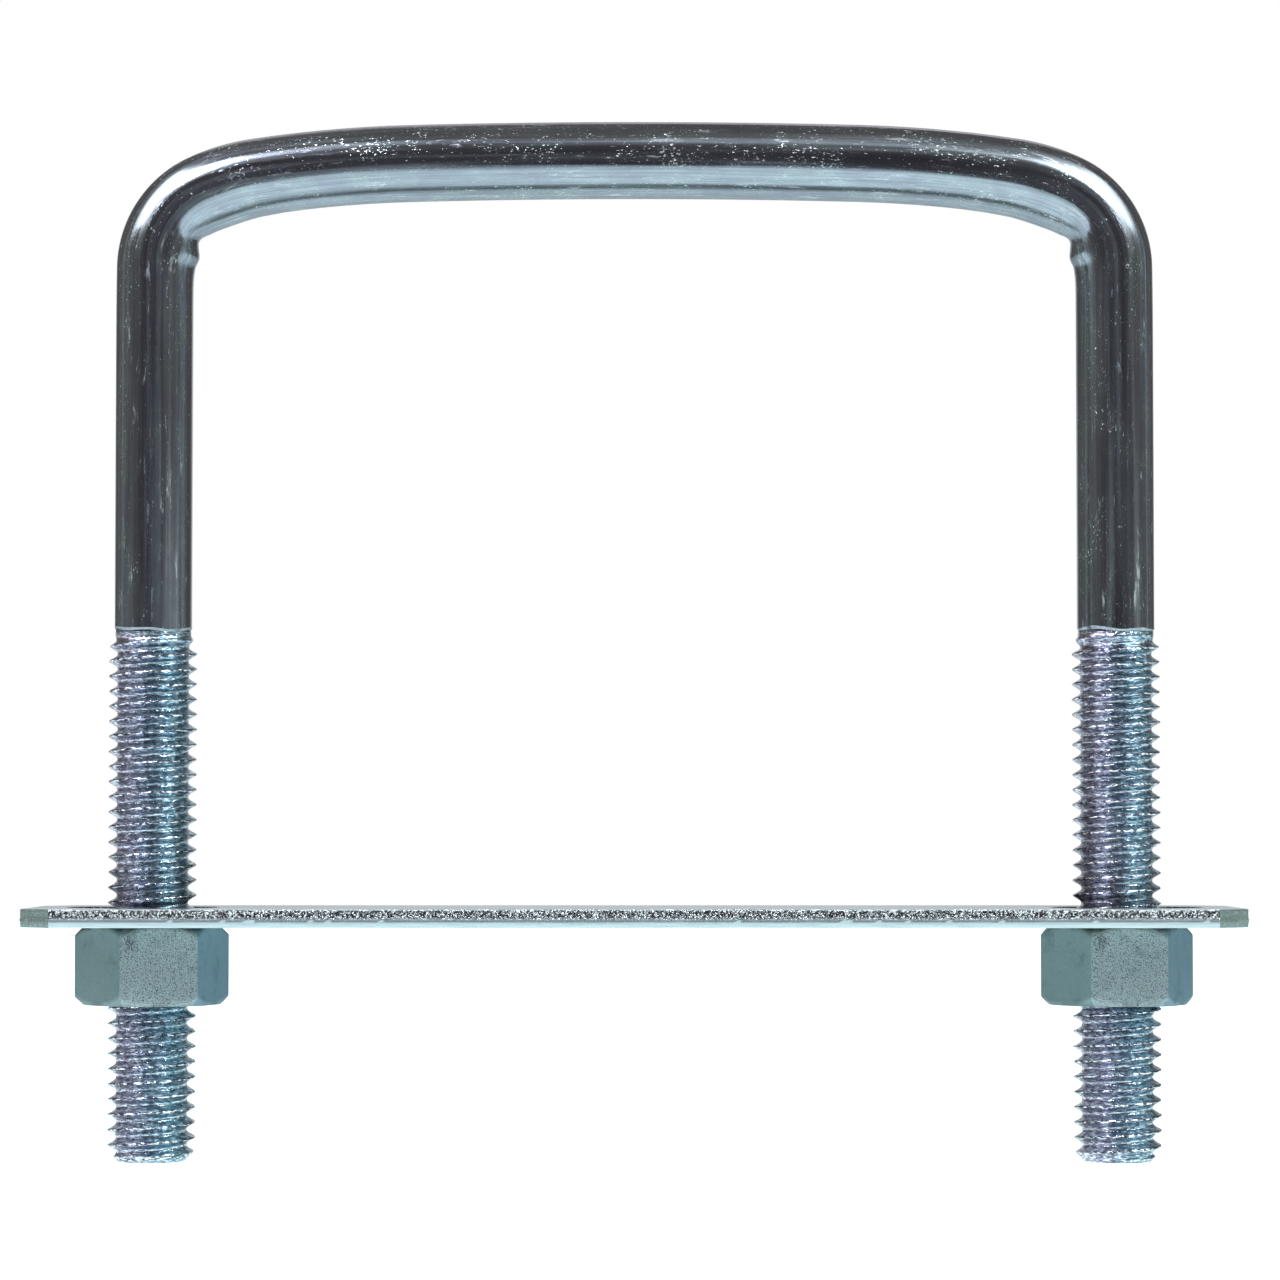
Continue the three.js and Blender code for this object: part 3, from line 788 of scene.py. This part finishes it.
# ---- studio ----
studio = {
    # lengths in metres, but for the lens
    "floorFront": -0.22,
    "floorReach": 1.2,
    "floorGap": 0.00005,  # under the part
    "floorBase": "#8f9496",
    "floorTint": "#e6fbff",
    "seenGlow": 1.4,  # what the eye sees of the floor
    "floorGlow": 1.15,  # what the metal mirrors of it, from the middle forwards
    "backGlow": 0.4,  # and what it mirrors of its back
    "backGlowFrom": 0.2,
    "surround": "#534c52",  # dark room in front of the object
    "surroundSide": "#837f7d",  # and its paler sides
    "sideFrom": 0.35,  # how far off straight ahead the sides begin, as the direction's length across
    "sideFull": 0.95,
    "backWhite": "#f2fafd",
    "backFrom": 0.84,  # how far round to the back the white begins, as the direction's Y
    "backFull": 0.98,
    "lampAim": (0, 0, 0.06),
    "lamps": {
        # place, width, height, radiance, colour
        "leftBox": ((-0.60, -0.24, 0.66), 0.56, 0.56, 4.4, "#f6f8ff"),
        "rightBox": ((0.60, -0.24, 0.66), 0.56, 0.56, 4.0, "#f6fbff"),
        "frontLeft": ((-0.38, -0.48, 0.72), 0.15, 0.15, 95.0, "#f0f0ff"),
        "frontRight": ((0.46, -0.46, 0.70), 0.15, 0.15, 95.0, "#f0fbff"),
        "overhead": ((0.0, 0.80, 0.72), 0.6, 0.25, 0.9, "#fff4f8"),
        "leftStrip": ((-0.60, 0.13, 0.09), 0.05, 0.5, 0.35, "#dfe8d8"),
        "rightStrip": ((0.60, 0.13, 0.09), 0.03, 0.5, 1.0, "#b9e2f2"),
    },
    "cameraPlace": (0.0015, -0.4753, 0.0352),
    "cameraTilt": 92.36,  # degrees from looking straight down
    "cameraTurn": 0.11,
    "focalLength": 126.7,  # mm, for a 36 mm sensor
}


def litAcrylic():
    # white acrylic table lit from below: no shadow shows on it, and the metal sees it dimmer at the back
    material, tree = startMaterial("white_acrylic_table")
    where = addNode(tree, "TexCoord").outputs["Object"]
    away = addNode(tree, "SeparateXYZ", [where]).outputs["Y"]
    fading = (away, 0, studio["backGlowFrom"], studio["floorGlow"], studio["backGlow"])
    mirroredGlow = addNode(tree, "MapRange", fading)
    straight = addNode(tree, "LightPath").outputs["Is Camera Ray"]
    glow = addNode(tree, "Mix", {0: straight, 2: mirroredGlow, 3: studio["seenGlow"]}, data_type="FLOAT")
    shader = addNode(tree, "BsdfPrincipled", {
        "Base Color": hexColour(studio["floorBase"]),
        "Roughness": 0.6,
        "Emission Color": hexColour(studio["floorTint"]),
        "Emission Strength": glow,
    })
    addNode(tree, "OutputMaterial", {"Surface": shader})
    return material


def makeFloor():
    reach, front, z = studio["floorReach"], studio["floorFront"], cadLow.z - studio["floorGap"]
    mesh = bpy.data.meshes.new("floor")
    corners = [(-reach, front, z), (reach, front, z), (reach, reach, z), (-reach, reach, z)]
    mesh.from_pydata(corners, [], [(0, 1, 2, 3)])
    mesh.materials.append(litAcrylic())
    floor = bpy.data.objects.new("floor", mesh)
    bpy.context.scene.collection.objects.link(floor)


def makeSurround():
    # white to the eye, and round the object a dark front and a white back for the metal to mirror
    world = bpy.data.worlds.new("surround")
    bpy.context.scene.world = world
    world.use_nodes = True
    tree = world.node_tree
    tree.nodes.clear()
    direction = addNode(tree, "TexCoord").outputs["Generated"]
    split = addNode(tree, "SeparateXYZ", [direction]).outputs
    back = addNode(tree, "MapRange", (split["Y"], studio["backFrom"], studio["backFull"]))
    level = addNode(tree, "CombineXYZ", {"X": split["X"], "Z": split["Z"]})
    aside = addNode(tree, "VectorMath", [level], operation="LENGTH").outputs["Value"]
    toSide = addNode(tree, "MapRange", (aside, studio["sideFrom"], studio["sideFull"]))
    frontToSide = {0: toSide, 6: hexColour(studio["surround"]), 7: hexColour(studio["surroundSide"])}
    room = addNode(tree, "Mix", frontToSide, data_type="RGBA")
    mirrored = addNode(tree, "Mix", {0: back, 6: room, 7: hexColour(studio["backWhite"])}, data_type="RGBA")
    straight = addNode(tree, "LightPath").outputs["Is Camera Ray"]
    seen = addNode(tree, "Mix", {0: straight, 6: mirrored, 7: hexColour("#ffffff")}, data_type="RGBA")
    addNode(tree, "OutputWorld", {"Surface": addNode(tree, "Background", {"Color": seen})})


def makeLamps():
    for name, (place, width, height, radiance, colour) in studio["lamps"].items():
        lamp = bpy.data.lights.new(name, "AREA")
        lamp.shape = "RECTANGLE"
        lamp.size, lamp.size_y = width, height
        lamp.energy = radiance * math.pi * width * height
        lamp.color = hexColour(colour)[:3]
        holder = bpy.data.objects.new(name, lamp)
        holder.location = place
        toAim = Vector(studio["lampAim"]) - Vector(place)
        holder.rotation_euler = toAim.to_track_quat("-Z", "Y").to_euler()
        bpy.context.scene.collection.objects.link(holder)


def makeCamera():
    lens = bpy.data.cameras.new("camera")
    lens.sensor_width = 36
    lens.lens = studio["focalLength"]
    lens.clip_start, lens.clip_end = 0.01, 20
    camera = bpy.data.objects.new("camera", lens)
    camera.location = studio["cameraPlace"]
    camera.rotation_euler = (math.radians(studio["cameraTilt"]), 0, math.radians(studio["cameraTurn"]))
    bpy.context.scene.collection.objects.link(camera)
    bpy.context.scene.camera = camera


makeFloor()
makeSurround()
makeLamps()
makeCamera()
bpy.context.scene.view_settings.view_transform = "Standard"
print("studio made")
